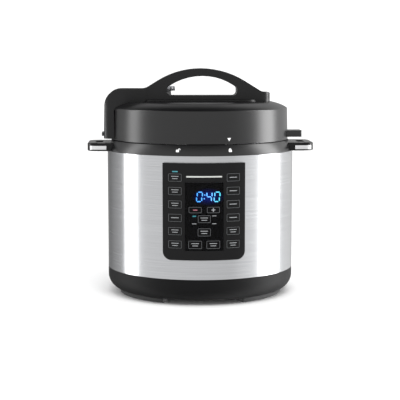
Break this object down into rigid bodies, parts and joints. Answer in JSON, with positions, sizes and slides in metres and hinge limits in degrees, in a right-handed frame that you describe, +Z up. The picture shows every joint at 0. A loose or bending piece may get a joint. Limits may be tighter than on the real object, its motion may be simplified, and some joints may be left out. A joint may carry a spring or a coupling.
{
  "type": "electric pressure cooker",
  "caption": "Round electric pressure cooker with a twist-lock lid, arched lid handle, side handles, steel body and a front control panel.",
  "frame": {"origin": "on the table, on the upright axis of the steel body, between the feet", "axes": "+Z up; the control panel faces -Y; the side handles lie along X; the lid's arm is on the -X side"},
  "size_m": [0.332, 0.302, 0.3315],
  "materials": {
    "brushed_steel": "horizontally brushed stainless steel",
    "inner_steel": "plain pressed steel",
    "charcoal_plastic": "fine moulded texture, charcoal",
    "black_plastic": "satin moulded black",
    "bright_trim": "bright satin aluminium",
    "rubber": "soft black rubber",
    "silicone": "milky silicone",
    "panel_plastic": "satin dark film",
    "smoked_window": "smoked, glossy",
    "key_film": "satin dark film with a thin printed frame",
    "gloss_key": "gloss black with a thin printed frame",
    "lit_blue": "lit blue segments and lights",
    "white_print": "white printed mark",
    "board_green": "circuit board with solder mask",
    "cast_aluminium": "cast and turned",
    "nonstick": "dark non-stick coating on aluminium",
    "brass": "nickel-free contact blade",
    "zinc_screw": "zinc plated",
    "cup_plastic": "clear frosted polypropylene"
  },
  "bodies": {
    "base": {"base_tray": "black_plastic", "rubber_feet": "rubber", "outer_shell": "brushed_steel", "top_ring": "charcoal_plastic", "side_handle_left": "black_plastic", "side_handle_right": "black_plastic", "handle_trim_left": "bright_trim", "handle_trim_right": "bright_trim", "lock_icons": "white_print", "heat_liner": "inner_steel", "bayonet_ring": "inner_steel", "heater_bracket": "inner_steel", "heating_plate": "cast_aluminium", "sensor_spring": "inner_steel", "power_board": "board_green", "base_screws": "zinc_screw", "panel_bezel": "panel_plastic", "panel_window": "smoked_window", "keypad_mat": "rubber", "control_board": "board_green", "display_lights": "lit_blue", "power_inlet": "black_plastic", "inlet_pins": "brass", "cup_holder": "black_plastic"},
    "pot": {"inner_pot": "nonstick"},
    "seal": {"sealing_ring": "silicone"},
    "lid": {"lid_cover": "charcoal_plastic", "lid_handle": "black_plastic", "lid_plate": "inner_steel", "lid_screws": "zinc_screw", "lid_mark": "white_print", "gasket_rack": "inner_steel", "steam_pipe": "inner_steel", "pipe_nut": "inner_steel", "valve_shield": "inner_steel", "lock_spring": "inner_steel"},
    "steam_release": {"steam_valve": "black_plastic"},
    "float_pin": {"float_valve": "cast_aluminium", "float_gasket": "silicone"},
    "lock": {"lock_slider": "black_plastic"},
    "sensor": {"sensor_button": "cast_aluminium"},
    "cup": {"condensation_cup": "cup_plastic"},
    "key_left_1": {"key_left_1": "key_film"},
    "key_left_2": {"key_left_2": "key_film"},
    "key_left_3": {"key_left_3": "key_film"},
    "key_left_4": {"key_left_4": "key_film"},
    "key_left_5": {"key_left_5": "key_film"},
    "key_left_6": {"key_left_6": "key_film"},
    "key_right_1": {"key_right_1": "key_film"},
    "key_right_2": {"key_right_2": "key_film"},
    "key_right_3": {"key_right_3": "key_film"},
    "key_right_4": {"key_right_4": "key_film"},
    "key_right_5": {"key_right_5": "key_film"},
    "key_right_6": {"key_right_6": "key_film"},
    "key_minus": {"key_minus": "gloss_key"},
    "key_plus": {"key_plus": "gloss_key"},
    "key_pressure": {"key_pressure": "gloss_key"},
    "key_temperature": {"key_temperature": "gloss_key"},
    "key_start": {"key_start": "gloss_key"},
    "key_stop": {"key_stop": "gloss_key"}
  },
  "joints": [
    {"name": "pot_lift", "type": "slide", "parent": "base", "child": "pot", "axis": [0, 0, 1], "range_m": [0, 0.2]},
    {"name": "lid_lift", "type": "slide", "parent": "pot", "child": "seal", "axis": [0, 0, 1], "range_m": [0, 0.2]},
    {"name": "lid_turn", "type": "hinge", "parent": "seal", "child": "lid", "pos_m": [0, 0, 0.2279], "axis": [0, 0, 1], "range_deg": [-31.5, 0]},
    {"name": "steam_valve_turn", "type": "hinge", "parent": "lid", "child": "steam_release", "pos_m": [-0.05, 0.06, 0.29], "axis": [0, 0, 1], "range_deg": [0, 40]},
    {"name": "float_rise", "type": "slide", "parent": "lid", "child": "float_pin", "axis": [0, 0, 1], "range_m": [0, 0.006]},
    {"name": "lock_slide", "type": "slide", "parent": "lid", "child": "lock", "axis": [0, 1, 0], "range_m": [-0.008, 0], "stiffness_N_per_m": 300, "springref_m": 0.004, "deforming": ["lock_spring"]},
    {"name": "sensor_press", "type": "slide", "parent": "base", "child": "sensor", "axis": [0, 0, 1], "range_m": [-0.0025, 0], "stiffness_N_per_m": 1500, "springref_m": 0.003, "deforming": ["sensor_spring"]},
    {"name": "cup_pull", "type": "slide", "parent": "base", "child": "cup", "axis": [0, 1, 0], "range_m": [0, 0.03]},
    {"name": "key_left_1_press", "type": "slide", "parent": "base", "child": "key_left_1", "axis": [0.2868, 0.958, 0], "range_m": [0, 0.0005], "stiffness_N_per_m": 800, "springref_m": -0.0005},
    {"name": "key_left_2_press", "type": "slide", "parent": "base", "child": "key_left_2", "axis": [0.2868, 0.958, 0], "range_m": [0, 0.0005], "stiffness_N_per_m": 800, "springref_m": -0.0005},
    {"name": "key_left_3_press", "type": "slide", "parent": "base", "child": "key_left_3", "axis": [0.2868, 0.958, 0], "range_m": [0, 0.0005], "stiffness_N_per_m": 800, "springref_m": -0.0005},
    {"name": "key_left_4_press", "type": "slide", "parent": "base", "child": "key_left_4", "axis": [0.2868, 0.958, 0], "range_m": [0, 0.0005], "stiffness_N_per_m": 800, "springref_m": -0.0005},
    {"name": "key_left_5_press", "type": "slide", "parent": "base", "child": "key_left_5", "axis": [0.2868, 0.958, 0], "range_m": [0, 0.0005], "stiffness_N_per_m": 800, "springref_m": -0.0005},
    {"name": "key_left_6_press", "type": "slide", "parent": "base", "child": "key_left_6", "axis": [0.2868, 0.958, 0], "range_m": [0, 0.0005], "stiffness_N_per_m": 800, "springref_m": -0.0005},
    {"name": "key_right_1_press", "type": "slide", "parent": "base", "child": "key_right_1", "axis": [-0.2868, 0.958, 0], "range_m": [0, 0.0005], "stiffness_N_per_m": 800, "springref_m": -0.0005},
    {"name": "key_right_2_press", "type": "slide", "parent": "base", "child": "key_right_2", "axis": [-0.2868, 0.958, 0], "range_m": [0, 0.0005], "stiffness_N_per_m": 800, "springref_m": -0.0005},
    {"name": "key_right_3_press", "type": "slide", "parent": "base", "child": "key_right_3", "axis": [-0.2868, 0.958, 0], "range_m": [0, 0.0005], "stiffness_N_per_m": 800, "springref_m": -0.0005},
    {"name": "key_right_4_press", "type": "slide", "parent": "base", "child": "key_right_4", "axis": [-0.2868, 0.958, 0], "range_m": [0, 0.0005], "stiffness_N_per_m": 800, "springref_m": -0.0005},
    {"name": "key_right_5_press", "type": "slide", "parent": "base", "child": "key_right_5", "axis": [-0.2868, 0.958, 0], "range_m": [0, 0.0005], "stiffness_N_per_m": 800, "springref_m": -0.0005},
    {"name": "key_right_6_press", "type": "slide", "parent": "base", "child": "key_right_6", "axis": [-0.2868, 0.958, 0], "range_m": [0, 0.0005], "stiffness_N_per_m": 800, "springref_m": -0.0005},
    {"name": "key_minus_press", "type": "slide", "parent": "base", "child": "key_minus", "axis": [0.0893, 0.996, 0], "range_m": [0, 0.0005], "stiffness_N_per_m": 800, "springref_m": -0.0005},
    {"name": "key_plus_press", "type": "slide", "parent": "base", "child": "key_plus", "axis": [-0.0893, 0.996, 0], "range_m": [0, 0.0005], "stiffness_N_per_m": 800, "springref_m": -0.0005},
    {"name": "key_pressure_press", "type": "slide", "parent": "base", "child": "key_pressure", "axis": [0, 1, 0], "range_m": [0, 0.0005], "stiffness_N_per_m": 800, "springref_m": -0.0005},
    {"name": "key_temperature_press", "type": "slide", "parent": "base", "child": "key_temperature", "axis": [0, 1, 0], "range_m": [0, 0.0005], "stiffness_N_per_m": 800, "springref_m": -0.0005},
    {"name": "key_start_press", "type": "slide", "parent": "base", "child": "key_start", "axis": [0.0893, 0.996, 0], "range_m": [0, 0.0005], "stiffness_N_per_m": 800, "springref_m": -0.0005},
    {"name": "key_stop_press", "type": "slide", "parent": "base", "child": "key_stop", "axis": [-0.0893, 0.996, 0], "range_m": [0, 0.0005], "stiffness_N_per_m": 800, "springref_m": -0.0005}
  ]
}
